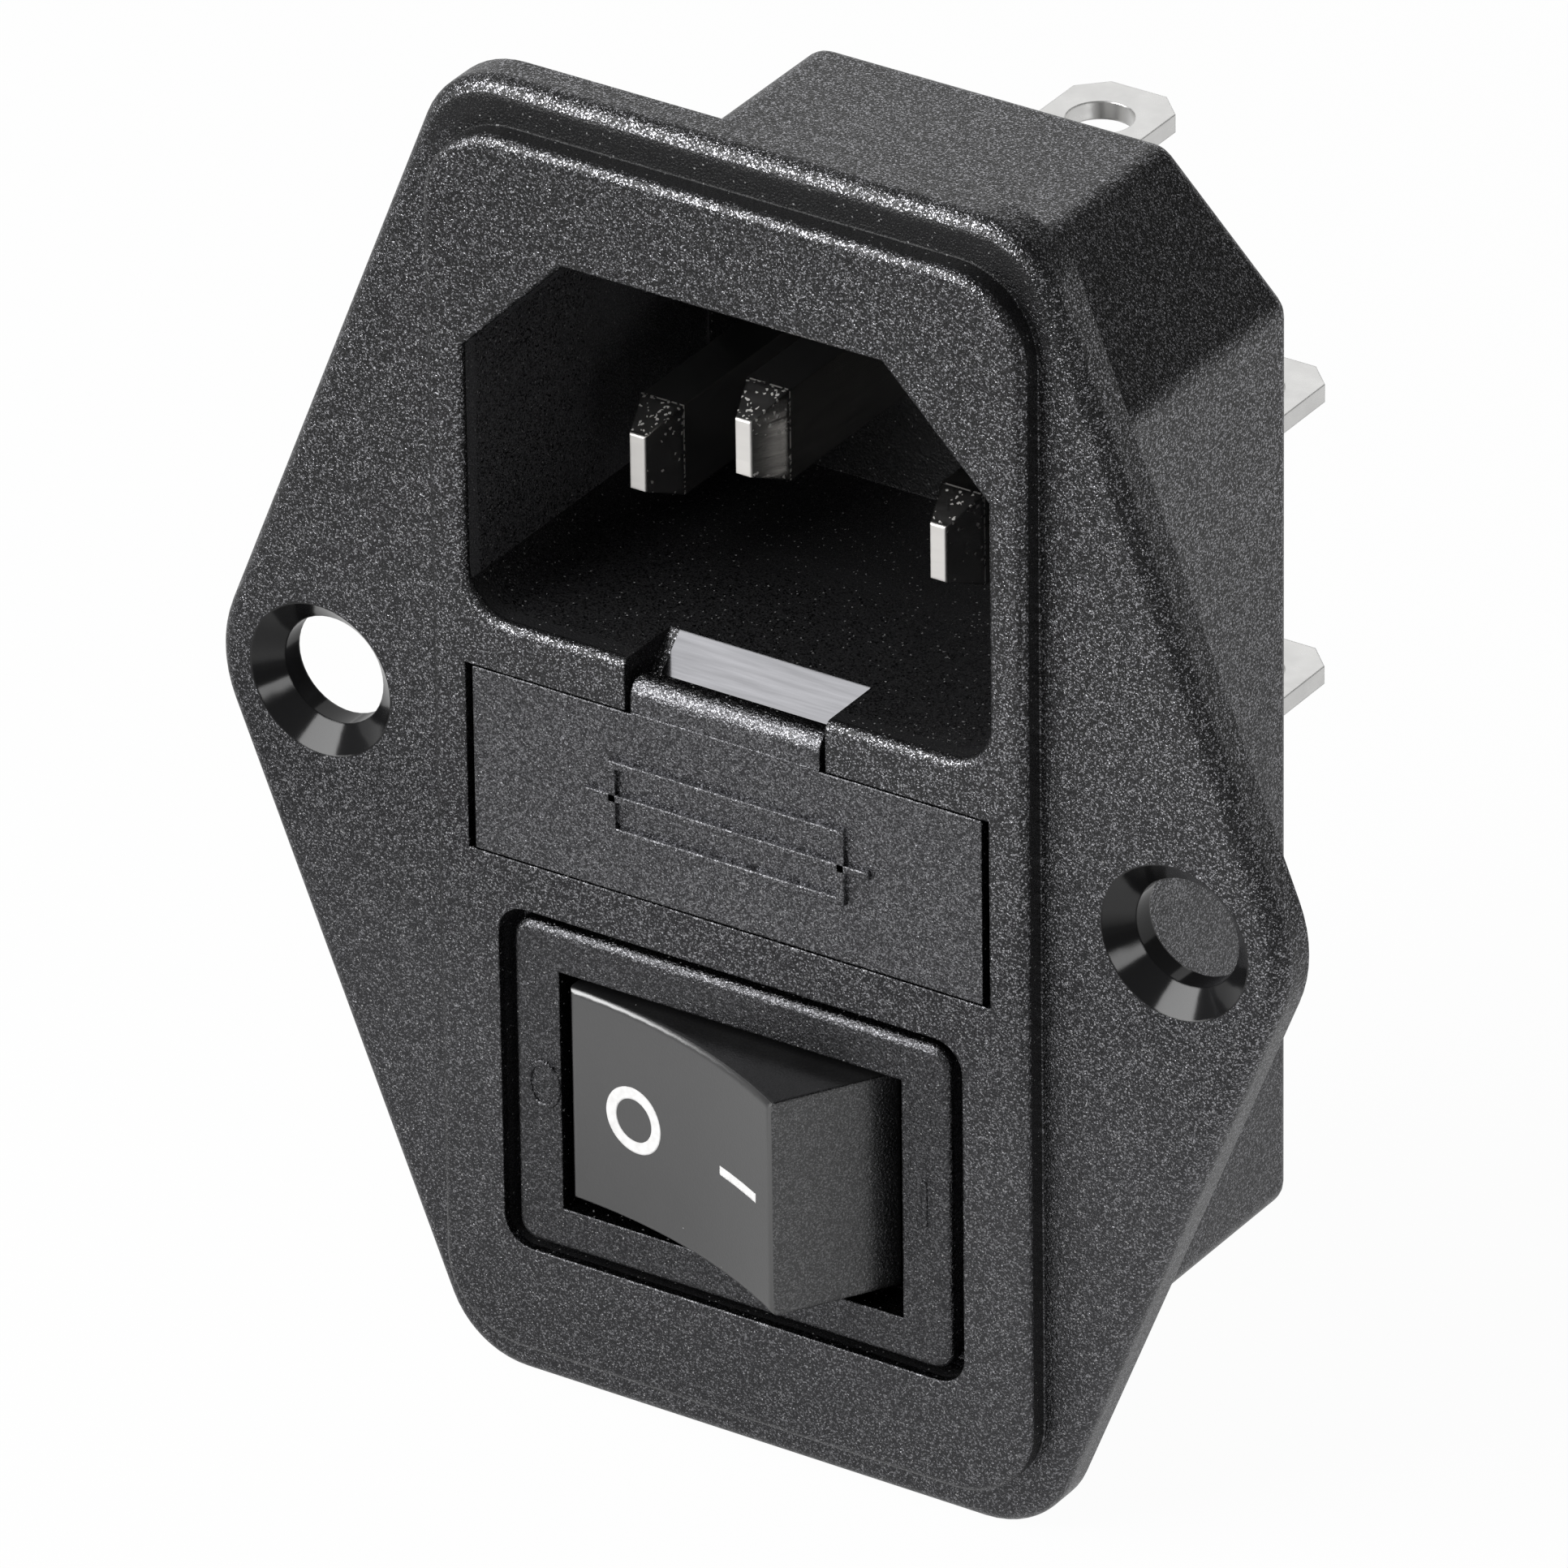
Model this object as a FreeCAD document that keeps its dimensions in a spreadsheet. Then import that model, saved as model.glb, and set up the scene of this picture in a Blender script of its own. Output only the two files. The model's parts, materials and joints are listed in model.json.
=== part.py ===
"""Panel-mount mains inlet with a fuse drawer and a rocker switch, in millimetres.

Frame: +X to the right seen from the front, +Y into the panel, +Z up. The origin lies midway between
the two screw holes, on the plane where the flange rests on the panel. The rocker is in its off pose.
"""
import FreeCAD
import Part
import Sketcher
import os

SIZES = {
    # flange with its two countersunk screw holes
    "ear_reach": 5.4,
    "flange_h": 58.4,
    "flange_inset": 0.3,
    "flange_t": 2.0,
    "flange_ear_r": 6.0,
    "flange_corner_r": 4.0,
    "flange_edge_r": 0.8,
    "hole_pitch": 40.0,
    "hole_d": 4.7,
    "countersink_d": 6.7,
    # raised front panel
    "panel_lap": 0.3,
    "panel_margin": 1.85,
    "panel_t": 1.15,
    "panel_corner_r": 3.6,
    "panel_edge_r": 0.45,
    # box behind the panel
    "side_wall": 1.35,
    "roof_wall": 0.95,
    "bottom_wall": 1.7,
    "rear_wall": 2.5,
    "chamfer_gain": 0.8,
    "body_corner_r": 1.2,
    "body_rear_r": 0.7,
    # connector socket
    "inlet_w": 24.4,
    "inlet_h": 16.6,
    "inlet_chamfer": 4.8,
    "inlet_depth": 17.6,
    "inlet_corner_r": 2.0,
    "inlet_lip_r": 0.4,
    # connector pins
    "pin_w": 2.0,
    "pin_h": 4.0,
    "pin_pitch": 14.0,
    "pin_rise": 6.05,
    "earth_rise": 4.05,
    "pin_setback": 4.65,
    "earth_setback": 1.6,
    "pin_taper_l": 1.85,
    "pin_side_taper": 0.66,
    "pin_top_taper": 0.8,
    "tenon_d": 1.8,
    "tenon_head_d": 2.8,
    "tenon_head_t": 0.5,
    "tenon_bevel": 0.35,
    # rear terminals
    "tab_w": 4.8,
    "tab_t": 0.8,
    "tab_reach": 10.5,
    "tab_hole_d": 2.8,
    "tab_hole_setback": 2.9,
    "tab_corner": 1.1,
    "tab_bend_r": 0.7,
    "earth_tab_rise": 2.15,
    "neutral_tab_drop": 4.0,
    "line_tab_drop": 4.4,
    "leg_past_rivet": 2.0,
    # fuse bay and drawer
    "bay_h": 8.4,
    "bay_z": -0.545,
    "shelf_t": 2.195,
    "bar_t": 2.095,
    "drawer_side_gap": 0.37,
    "drawer_gap": 0.1,
    "drawer_plate_t": 2.0,
    "pull_side_gap": 0.3,
    "pull_rise": 1.45,
    "pull_t": 1.05,
    "pull_edge_r": 0.8,
    "notch_w": 9.4,
    "notch_depth": 3.35,
    "notch_slope": 45.0,
    "tray_side_gap": 0.95,
    "tray_depth": 6.6,
    "tray_wall": 0.8,
    "cradle_w": 17.2,
    "cradle_end_gap": 1.2,
    "saddle_x": 3.0,
    "saddle_t": 1.6,
    "saddle_l": 6.4,
    "saddle_wrap": 0.9,
    "saddle_gap": 0.1,
    # fuse
    "fuse_l": 20.0,
    "fuse_gap": 1.05,
    "cap_wall": 0.15,
    "cap_l": 5.5,
    "cap_end_t": 0.4,
    "cap_bevel": 0.3,
    "glass_d": 4.9,
    "glass_wall": 0.4,
    "fuse_wire_d": 0.3,
    # contact leaves beside the fuse
    "leaf_h": 4.0,
    "leaf_gap": 0.1,
    "leaf_side_gap": 1.35,
    "leaf_lead": 1.95,
    # switch frame
    "bezel_end_lap": 0.775,
    "bezel_side_lap": 0.98,
    "bezel_t": 1.9,
    "bezel_r": 0.9,
    "bezel_edge_r": 0.4,
    "recess_end_gap": 0.64,
    "recess_side_gap": 0.43,
    "opening_end_gap": 0.475,
    "opening_side_gap": 0.6,
    "box_end_lap": 1.425,
    "box_side_lap": 0.95,
    "box_wall": 1.0,
    "aperture_gap": 0.15,
    "web_t": 2.5,
    "rear_bay_wall": 1.4,
    "rear_bay_gap": 0.4,
    "snap_l": 3.6,
    "snap_h": 5.0,
    "snap_rise": 0.8,
    "snap_gap": 0.1,
    # rocker, in its own frame about the pivot
    "pivot_setback": 4.1,
    "rocker_tilt": 16.6,
    "rocker_h": 9.7,
    "rocker_tip_w": 12.3,
    "rocker_rise": 6.1,
    "rocker_face_r": 25.4,
    "rocker_base_w": 15.2,
    "rocker_base_y": -0.6,
    "rocker_skirt_w": 9.6,
    "rocker_skirt_y": 1.7,
    "rocker_crown_t": 2.05,
    "rocker_wall": 1.0,
    "rocker_edge_r": 0.3,
    "trunnion_d": 2.4,
    "trunnion_gap": 0.05,
    "trunnion_l": 1.1,
    "stem_wall": 0.55,
    "stem_y": 2.4,
    "stem_floor": 0.75,
    "plunger_d": 2.2,
    "plunger_gap": 0.05,
    "plunger_l": 5.6,
    "plunger_reach": 5.2,
    "plunger_tip_bevel": 0.9,
    "spring_side_gap": 0.15,
    "spring_wire_d": 0.28,
    "spring_turns": 3.0,
    "spring_gap": 0.05,
    # contact lever, in its own frame about the knife edge
    "lever_gap": 0.1,
    "lever_tilt": 8.0,
    "lever_l": 13.4,
    "lever_w": 4.0,
    "lever_t": 0.5,
    "lever_v_x": 1.5,
    "lever_v_rise": 0.3,
    "lever_waist_w": 2.2,
    "lever_waist_l": 2.2,
    "contact_x": 5.6,
    "contact_d": 2.4,
    "contact_t": 0.8,
    "contact_bevel": 0.25,
    "contact_gap": 0.1,
    "knife_gap": 0.05,
    "knife_ear_w": 0.8,
    "knife_ear_rise": 1.2,
    "output_ledge_l": 3.0,
    "ledge_gap": 1.1,
    "switch_tab_reach": 8.85,
}

# Places and sizes that follow from the ones above, as formulas on the same sheet
PLACES = {
    "panel_face": "-flange_t - panel_t",
    "rear": "panel_face + inlet_depth + rear_wall",
    "tab_end": "rear + tab_reach",
    # fuse bay, with the socket above it and the box round both
    "bay_w": "fuse_l + 2 * (leaf_gap + tab_t + leaf_side_gap)",
    "bay_top": "bay_z + bay_h / 2",
    "inlet_floor": "bay_top + shelf_t",
    "inlet_roof": "inlet_floor + inlet_h",
    "pin_z": "inlet_floor + pin_rise",
    "earth_z": "pin_z + earth_rise",
    "body_w": "max(inlet_w; bay_w) + 2 * side_wall",
    "body_top": "inlet_roof + roof_wall",
    "body_chamfer": "inlet_chamfer + chamfer_gain",
    "panel_w": "body_w + 2 * panel_lap",
    "flange_w": "hole_pitch + 2 * ear_reach",
    "flange_top_w": "panel_w - 2 * flange_inset",
    # drawer, fuse and contact leaves
    "pull_w": "notch_w - 2 * pull_side_gap",
    "lip_top": "bay_top + pull_rise",
    "tray_w": "bay_w - 2 * tray_side_gap",
    "tray_h": "bay_h - 4 * drawer_gap",
    "tray_low": "bay_z - tray_h / 2",
    "plate_back": "panel_face + drawer_plate_t",
    "tray_back": "plate_back + tray_depth",
    "cradle_back": "panel_face + inlet_depth - cradle_end_gap",
    "cap_d": "glass_d + 2 * cap_wall",
    "glass_bore_d": "glass_d - 2 * glass_wall",
    "fuse_y": "tray_back + fuse_gap + cap_d / 2",
    "leaf_inner": "fuse_l / 2 + leaf_gap",
    "leaf_outer": "leaf_inner + tab_t",
    "leaf_low": "bay_z - leaf_h / 2",
    "line_tab_low": "bay_z - line_tab_drop",
    # switch frame round the rocker
    "opening_w": "rocker_base_w + 2 * opening_end_gap",
    "opening_h": "rocker_h + 2 * opening_side_gap",
    "box_w": "opening_w + 2 * box_end_lap",
    "box_h": "opening_h + 2 * box_side_lap",
    "bezel_w": "box_w + 2 * bezel_end_lap",
    "bezel_h": "box_h + 2 * bezel_side_lap",
    "switch_z": "bay_z - bay_h / 2 - bar_t - recess_side_gap - bezel_h / 2",
    "body_low": "switch_z - box_h / 2 - rear_bay_gap - bottom_wall",
    "rear_bay_w": "body_w - 2 * rear_bay_wall",
    "bezel_back": "panel_face + bezel_t",
    "web_back": "bezel_back + web_t",
    # rocker, plunger and spring
    "pivot_y": "panel_face + pivot_setback",
    "rocker_crown_y": "rocker_crown_t - rocker_rise",
    "stem_bore_d": "plunger_d + 2 * plunger_gap",
    "stem_bore_y": "rocker_crown_y + stem_floor",
    "stem_d": "stem_bore_d + 2 * stem_wall",
    "plunger_start": "plunger_reach - plunger_l",
    "spring_d": "stem_bore_d - 2 * spring_side_gap",
    # lever and switch terminals; the fixed contact sits just behind the moving one with the lever over
    "lever_y": "pivot_y + plunger_reach + lever_gap",
    "lever_under": "lever_t - lever_v_rise",
    "knife_y": "lever_y + lever_t + knife_gap",
    "contact_drop": "(lever_under + contact_t) * cos(lever_tilt * 1 deg)",
    "contact_swing": "(contact_x + contact_d / 2) * sin(lever_tilt * 1 deg)",
    "contact_y": "lever_y + contact_drop + contact_swing + contact_gap",
    "ledge_y": "contact_y + contact_t",
    "output_x": "tab_t / 2 - contact_x - output_ledge_l / 2",
    "box_back": "ledge_y + tab_t + ledge_gap + box_wall",
    "switch_tab_end": "box_back + switch_tab_reach",
}

XY = "XY_Plane"
XZ = "XZ_Plane"
YZ = "YZ_Plane"
# A sketch's normal points along its plane's own axis, but backwards on the XZ plane.
NORMAL_SIGN = {XY: 1, XZ: -1, YZ: 1}
SIDES = (("left", "-"), ("right", ""))

# Two coordinates closer than this are the same place.
SAME = 0.002
# Edges are looked for this far beyond an outline.
MARGIN = 0.1


def make_sheet(doc):
    """Fills the spreadsheet that drives every sketch, pad and placement."""
    sheet = doc.addObject("Spreadsheet::Sheet", "size")
    rows = [(name, str(value)) for name, value in SIZES.items()]
    rows += [(name, f"={formula}") for name, formula in PLACES.items()]
    for row, (name, content) in enumerate(rows, start=1):
        sheet.set(f"A{row}", name)
        sheet.set(f"B{row}", content)
        sheet.setAlias(f"B{row}", name)
    doc.recompute()
    return sheet


def new_body(doc, name):
    """Starts the body of one sub-part, with its node name as its label."""
    body = doc.addObject("PartDesign::Body", name)
    body.Label = name
    return body


def new_sketch(body, name, plane, start):
    """Attaches an empty sketch to an origin plane of the body, moved along the plane's axis to start."""
    sketch = body.newObject("Sketcher::SketchObject", name)
    origin_plane = next(item for item in body.Origin.OriginFeatures if item.Role == plane)
    sketch.AttachmentSupport = [(origin_plane, "")]
    sketch.MapMode = "FlatFace"
    sign = "" if NORMAL_SIGN[plane] > 0 else "-"
    sketch.setExpression("AttachmentOffset.Base.z", f"{sign}({start})")
    return sketch


def bind(sketch, constraint, expression):
    """Adds a dimension to a sketch and ties it to an expression on the sheet."""
    index = sketch.addConstraint(constraint)
    sketch.setExpression(f"Constraints[{index}]", expression)


def draw_outline(sketch, corners):
    """Draws a closed outline whose corners are pairs of expressions, each tied to the sketch's origin."""
    count = len(corners)
    rough = [FreeCAD.Vector(i + 1, i * i + 1, 0) for i in range(count)]
    for i in range(count):
        sketch.addGeometry(Part.LineSegment(rough[i], rough[(i + 1) % count]), False)
    for i in range(count):
        sketch.addConstraint(Sketcher.Constraint("Coincident", i, 2, (i + 1) % count, 1))
    for i, (across, up) in enumerate(corners):
        bind(sketch, Sketcher.Constraint("DistanceX", -1, 1, i, 1, rough[i].x), across)
        bind(sketch, Sketcher.Constraint("DistanceY", -1, 1, i, 1, rough[i].y), up)


def draw_circle(sketch, across, up, diameter):
    """Draws a circle whose centre and diameter are expressions."""
    rough = FreeCAD.Vector(1, 1, 0)
    sketch.addGeometry(Part.Circle(rough, FreeCAD.Vector(0, 0, 1), 1.0), False)
    bind(sketch, Sketcher.Constraint("DistanceX", -1, 1, 0, 3, rough.x), across)
    bind(sketch, Sketcher.Constraint("DistanceY", -1, 1, 0, 3, rough.y), up)
    bind(sketch, Sketcher.Constraint("Diameter", 0, 2.0), diameter)


def draw(sketch, shape):
    """Draws an outline given as a list of corners, or a circle given as (across, up, diameter)."""
    if isinstance(shape, tuple):
        draw_circle(sketch, *shape)
    else:
        draw_outline(sketch, shape)


def rectangle(across, up, width, height):
    """Corners of a rectangle about its centre."""
    left = f"{across} - ({width}) / 2"
    right = f"{across} + ({width}) / 2"
    low = f"{up} - ({height}) / 2"
    high = f"{up} + ({height}) / 2"
    return [(left, low), (right, low), (right, high), (left, high)]


def block(left, right, low, high):
    """Corners of a rectangle between its sides."""
    return [(left, low), (right, low), (right, high), (left, high)]


def mirrored(half):
    """Closes a right-hand run of corners with its mirror image across the vertical axis."""
    return half + [(f"-({across})", up) for across, up in reversed(half)]


def pad(body, name, plane, start, length, shape):
    """Adds a prism from start, along the plane's axis, by length."""
    sketch = new_sketch(body, name + "_sketch", plane, start)
    draw(sketch, shape)
    feature = body.newObject("PartDesign::Pad", name)
    feature.Profile = sketch
    feature.setExpression("Length", length)
    feature.Reversed = NORMAL_SIGN[plane] < 0
    body.Document.recompute()


def loft(body, name, plane, stations):
    """Joins outlines at several places along the plane's axis by flat sides."""
    sketches = []
    for number, (start, shape) in enumerate(stations, start=1):
        sketch = new_sketch(body, f"{name}_sketch_{number}", plane, start)
        draw(sketch, shape)
        sketches.append(sketch)
    body.Document.recompute()
    feature = body.newObject("PartDesign::AdditiveLoft", name)
    feature.Profile = sketches[0]
    feature.Sections = sketches[1:]
    feature.Ruled = True
    body.Document.recompute()


def pocket(body, name, plane, start, length, shape):
    """Cuts a prism from start, along the plane's axis, by length, and makes sure that material goes."""
    before = body.Shape.Volume
    sketch = new_sketch(body, name + "_sketch", plane, start)
    draw(sketch, shape)
    feature = body.newObject("PartDesign::Pocket", name)
    feature.Profile = sketch
    feature.setExpression("Length", length)
    feature.Reversed = NORMAL_SIGN[plane] > 0
    body.Document.recompute()
    if body.Shape.Volume >= before:
        raise RuntimeError(f"{body.Label}: {name} removes nothing")


def edges_where(shape, test):
    """Names of the edges whose ends and middle pass a test."""
    names = []
    for number, edge in enumerate(shape.Edges, start=1):
        middle = edge.valueAt((edge.FirstParameter + edge.LastParameter) / 2)
        points = [vertex.Point for vertex in edge.Vertexes] + [middle]
        if test(points):
            names.append(f"Edge{number}")
    return names


def dress(body, kind, name, amount, test):
    """Rounds ("Fillet") or bevels ("Chamfer") the edges that pass a test."""
    base = body.Tip
    names = edges_where(base.Shape, test)
    if not names:
        raise RuntimeError(f"{body.Label}: {name} finds no edge")
    feature = body.newObject(f"PartDesign::{kind}", name)
    feature.Base = (base, names)
    feature.setExpression("Radius" if kind == "Fillet" else "Size", amount)
    body.Document.recompute()


def near(a, b):
    """True for two coordinates at the same place."""
    return abs(a - b) < SAME


def along(axis, **places):
    """Test for straight edges along an axis, at the given distances from the origin on other axes."""
    others = [name for name in "xyz" if name != axis]

    def test(points):
        first = points[0]
        straight = all(near(getattr(p, other), getattr(first, other)) for p in points for other in others)
        return straight and all(near(abs(getattr(first, a)), abs(v)) for a, v in places.items())
    return test


def level(axis, place):
    """Test for edges that lie in the plane axis = place."""
    def test(points):
        return all(near(getattr(p, axis), place) for p in points)
    return test


def place(body, x="0", y="0", z="0", turn="0"):
    """Ties a body's placement to expressions: its origin, and a turn about Z in degrees."""
    z_axis = FreeCAD.Rotation(FreeCAD.Vector(0, 0, 1), 1)
    body.Placement = FreeCAD.Placement(FreeCAD.Vector(), z_axis)
    for axis, expression in zip("xyz", (x, y, z)):
        body.setExpression(f"Placement.Base.{axis}", expression)
    body.setExpression("Placement.Rotation.Angle", f"({turn}) * 1 deg")


def housing_shell(body, size):
    """Flange, raised panel and box, each with its rounded edges."""
    panel = rectangle("0", "0", "size.panel_w", "size.flange_h - 2 * size.panel_margin")
    pad(body, "panel", XZ, "size.panel_face", "size.panel_t + size.flange_t / 2", panel)
    dress(body, "Fillet", "panel_corners", "size.panel_corner_r", along("y", x=size.panel_w / 2))
    dress(body, "Fillet", "panel_edge", "size.panel_edge_r", level("y", size.panel_face))
    corner = "size.flange_top_w / 2"
    flange = mirrored([(corner, "-size.flange_h / 2"), ("size.flange_w / 2", "0"),
                       (corner, "size.flange_h / 2")])
    pad(body, "flange", XZ, "-size.flange_t", "size.flange_t", flange)
    dress(body, "Fillet", "flange_ears", "size.flange_ear_r", along("y", x=size.flange_w / 2))
    dress(body, "Fillet", "flange_corners", "size.flange_corner_r", along("y", x=size.flange_top_w / 2))

    def outer_edge(points):
        beyond_x = size.panel_w / 2 + MARGIN
        beyond_z = size.flange_h / 2 - size.panel_margin + MARGIN
        outside = any(abs(p.x) > beyond_x or abs(p.z) > beyond_z for p in points)
        return outside and level("y", -size.flange_t)(points)
    dress(body, "Fillet", "flange_edge", "size.flange_edge_r", outer_edge)
    side = "size.body_w / 2"
    box = mirrored([(side, "size.body_low"), (side, "size.body_top - size.body_chamfer"),
                    (f"{side} - size.body_chamfer", "size.body_top")])
    pad(body, "box", XZ, "-size.flange_t / 2", "size.rear + size.flange_t / 2", box)

    def long_edge(points):
        return along("y")(points) and near(max(p.y for p in points), size.rear)
    dress(body, "Fillet", "box_corners", "size.body_corner_r", long_edge)
    dress(body, "Fillet", "box_rear_edge", "size.body_rear_r", level("y", size.rear))


def housing_inlet(body, size):
    """The connector socket with its bevelled top corners, and the slots that grip the pins."""
    side = "size.inlet_w / 2"
    socket = mirrored([(side, "size.inlet_floor"), (side, "size.inlet_roof - size.inlet_chamfer"),
                       (f"{side} - size.inlet_chamfer", "size.inlet_roof")])
    pocket(body, "inlet", XZ, "size.panel_face", "size.inlet_depth", socket)
    low_corners = along("y", x=size.inlet_w / 2, z=size.inlet_floor)
    dress(body, "Fillet", "inlet_corners", "size.inlet_corner_r", low_corners)

    def mouth(points):
        reach = size.inlet_w / 2 + MARGIN
        low = size.inlet_floor - MARGIN
        high = size.inlet_roof + MARGIN
        around = all(abs(p.x) < reach and low < p.z < high for p in points)
        return around and level("y", size.panel_face)(points)
    dress(body, "Fillet", "inlet_lip", "size.inlet_lip_r", mouth)
    for name, x, z, _ in pin_places():
        slot = rectangle(x, z, "size.pin_w", "size.pin_h")
        pocket(body, f"{name}_slot", XZ, "size.panel_face + size.inlet_depth / 2", "size.rear", slot)


def housing_fuse_bay(body):
    """The fuse bay, the finger notch with its ramp above it, and the slots for the contact leaves."""
    bay = rectangle("0", "size.bay_z", "size.bay_w", "size.bay_h")
    pocket(body, "fuse_bay", XZ, "size.panel_face", "size.inlet_depth", bay)
    front = "size.panel_face - size.panel_t"
    back = "size.panel_face + size.notch_depth"
    ramp_foot = f"{back} - (size.inlet_floor - size.bay_z) * tan(size.notch_slope * 1 deg)"
    notch = [(front, "size.bay_z"), (ramp_foot, "size.bay_z"), (back, "size.inlet_floor"),
             (back, "size.inlet_roof"), (front, "size.inlet_roof")]
    pocket(body, "finger_notch", YZ, "-size.notch_w / 2", "size.notch_w", notch)
    for side, sign in SIDES:
        middle = f"{sign}(size.leaf_inner + size.tab_t / 2)"
        slot = rectangle(middle, "size.bay_z", "size.tab_t", "size.leaf_h")
        pocket(body, f"{side}_leaf_slot", XZ, "size.fuse_y", "size.rear", slot)


def housing_switch_bay(body, size):
    """The recess for the switch bezel, the aperture that its box snaps into, and the open bay behind."""
    recess_w = "size.bezel_w + 2 * size.recess_end_gap"
    recess_h = "size.bezel_h + 2 * size.recess_side_gap"
    recess = rectangle("0", "size.switch_z", recess_w, recess_h)
    pocket(body, "switch_recess", XZ, "size.panel_face", "size.bezel_t", recess)

    def recess_corner(points):
        at_side = along("y", x=size.bezel_w / 2 + size.recess_end_gap)(points)
        return at_side and all(p.z < size.bay_z for p in points)
    dress(body, "Fillet", "recess_corners", "size.bezel_r + size.recess_side_gap", recess_corner)
    gap = "2 * size.aperture_gap"
    aperture = rectangle("0", "size.switch_z", f"size.box_w + {gap}", f"size.box_h + {gap}")
    pocket(body, "switch_aperture", XZ, "size.bezel_back", "size.web_t", aperture)
    rear_bay = rectangle("0", "size.switch_z", "size.rear_bay_w", "size.box_h + 2 * size.rear_bay_gap")
    pocket(body, "switch_rear_bay", XZ, "size.web_back", "size.rear", rear_bay)


def housing_holes(body, size):
    """Two countersunk screw holes in the ears."""
    for side, sign in SIDES:
        hole = (f"{sign}size.hole_pitch / 2", "0", "size.hole_d")
        pocket(body, f"{side}_screw_hole", XZ, "-size.flange_t", "size.flange_t", hole)

    def rim(points):
        reach = size.hole_d / 2 + MARGIN
        around = all(abs(abs(p.x) - size.hole_pitch / 2) < reach and abs(p.z) < reach for p in points)
        return around and level("y", -size.flange_t)(points)
    dress(body, "Chamfer", "countersinks", "(size.countersink_d - size.hole_d) / 2", rim)


def make_housing(doc, size):
    """The moulded housing, one piece."""
    body = new_body(doc, "housing")
    housing_shell(body, size)
    housing_inlet(body, size)
    housing_fuse_bay(body)
    housing_switch_bay(body, size)
    housing_holes(body, size)


def pin_places():
    """Name, place across, height, and setback of each connector pin behind the panel's face."""
    return [("live", "-size.pin_pitch / 2", "size.pin_z", "pin_setback"),
            ("neutral", "size.pin_pitch / 2", "size.pin_z", "pin_setback"),
            ("earth", "0", "size.earth_z", "earth_setback")]


def make_pins(doc, size):
    """Three flat pins with tapered tips, each with a round tenon headed over its terminal."""
    for name, x, z, setback in pin_places():
        body = new_body(doc, f"{name}_pin")
        start = f"(size.panel_face + size.{setback})"
        shoulder = f"({start} + size.pin_taper_l)"
        tip_w = "size.pin_w - 2 * size.pin_side_taper"
        tip = rectangle("0", "0", tip_w, "size.pin_h - 2 * size.pin_top_taper")
        blade = rectangle("0", "0", "size.pin_w", "size.pin_h")
        loft(body, "tapered_tip", XZ, [(start, tip), (shoulder, blade)])
        pad(body, "blade", XZ, shoulder, f"size.rear - {shoulder}", blade)
        pad(body, "tenon", XZ, "size.rear", "size.tab_t", ("0", "0", "size.tenon_d"))
        head = ("0", "0", "size.tenon_head_d")
        pad(body, "tenon_head", XZ, "size.rear + size.tab_t", "size.tenon_head_t", head)
        head_y = size.rear + size.tab_t + size.tenon_head_t
        dress(body, "Chamfer", "tenon_crown", "size.tenon_bevel", level("y", head_y))
        place(body, x=x, z=z)


def add_tab(body, x, low):
    """Adds a flat tab with bevelled rear corners and an eye, reaching back from the rear face."""
    half = "size.tab_w / 2"
    outline = mirrored([(half, "size.rear"), (half, "size.tab_end - size.tab_corner"),
                        (f"{half} - size.tab_corner", "size.tab_end")])
    moved = [(f"{x} + ({across})", back) for across, back in outline]
    pad(body, "tab", XY, low, "size.tab_t", moved)
    eye = (x, "size.tab_end - size.tab_hole_setback", "size.tab_hole_d")
    pocket(body, "tab_eye", XY, low, "size.tab_t", eye)


def round_bend(body, size, height):
    """Rounds the inside of the bend between a leg on the rear face and its tab."""
    inner_corner = along("x", y=size.rear + size.tab_t, z=height)
    dress(body, "Fillet", "bend", "size.tab_bend_r", inner_corner)


def make_earth_terminal(doc, size):
    """Leg riveted to the earth pin, bent back at its top into a tab."""
    body = new_body(doc, "earth_terminal")
    half = "size.tab_w / 2"
    leg = block(f"-{half}", half, "-size.leg_past_rivet", "size.earth_tab_rise + size.tab_t")
    pad(body, "leg", XZ, "size.rear", "size.tab_t", leg)
    pocket(body, "rivet_hole", XZ, "size.rear", "size.tab_t", ("0", "0", "size.tenon_d"))
    add_tab(body, "0", "size.earth_tab_rise")
    round_bend(body, size, size.earth_tab_rise)
    place(body, z="size.earth_z")


def make_neutral_terminal(doc, size):
    """Leg riveted to the neutral pin, bent back at its foot into a tab."""
    body = new_body(doc, "neutral_terminal")
    half = "size.tab_w / 2"
    leg = block(f"-{half}", half, "-size.neutral_tab_drop", "size.leg_past_rivet")
    pad(body, "leg", XZ, "size.rear", "size.tab_t", leg)
    pocket(body, "rivet_hole", XZ, "size.rear", "size.tab_t", ("0", "0", "size.tenon_d"))
    add_tab(body, "0", "-size.neutral_tab_drop")
    round_bend(body, size, size.tab_t - size.neutral_tab_drop)
    place(body, x="size.pin_pitch / 2", z="size.pin_z")


def add_leaf(body, sign):
    """Adds a contact leaf that runs forward beside the fuse through its slot in the rear wall."""
    inner = f"{sign}size.leaf_inner"
    outer = f"{sign}(size.leaf_outer)"
    leaf = block(inner, outer, "size.fuse_y - size.leaf_lead", "size.rear + size.tab_t")
    pad(body, "leaf", XY, "size.leaf_low", "size.leaf_h", leaf)


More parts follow.
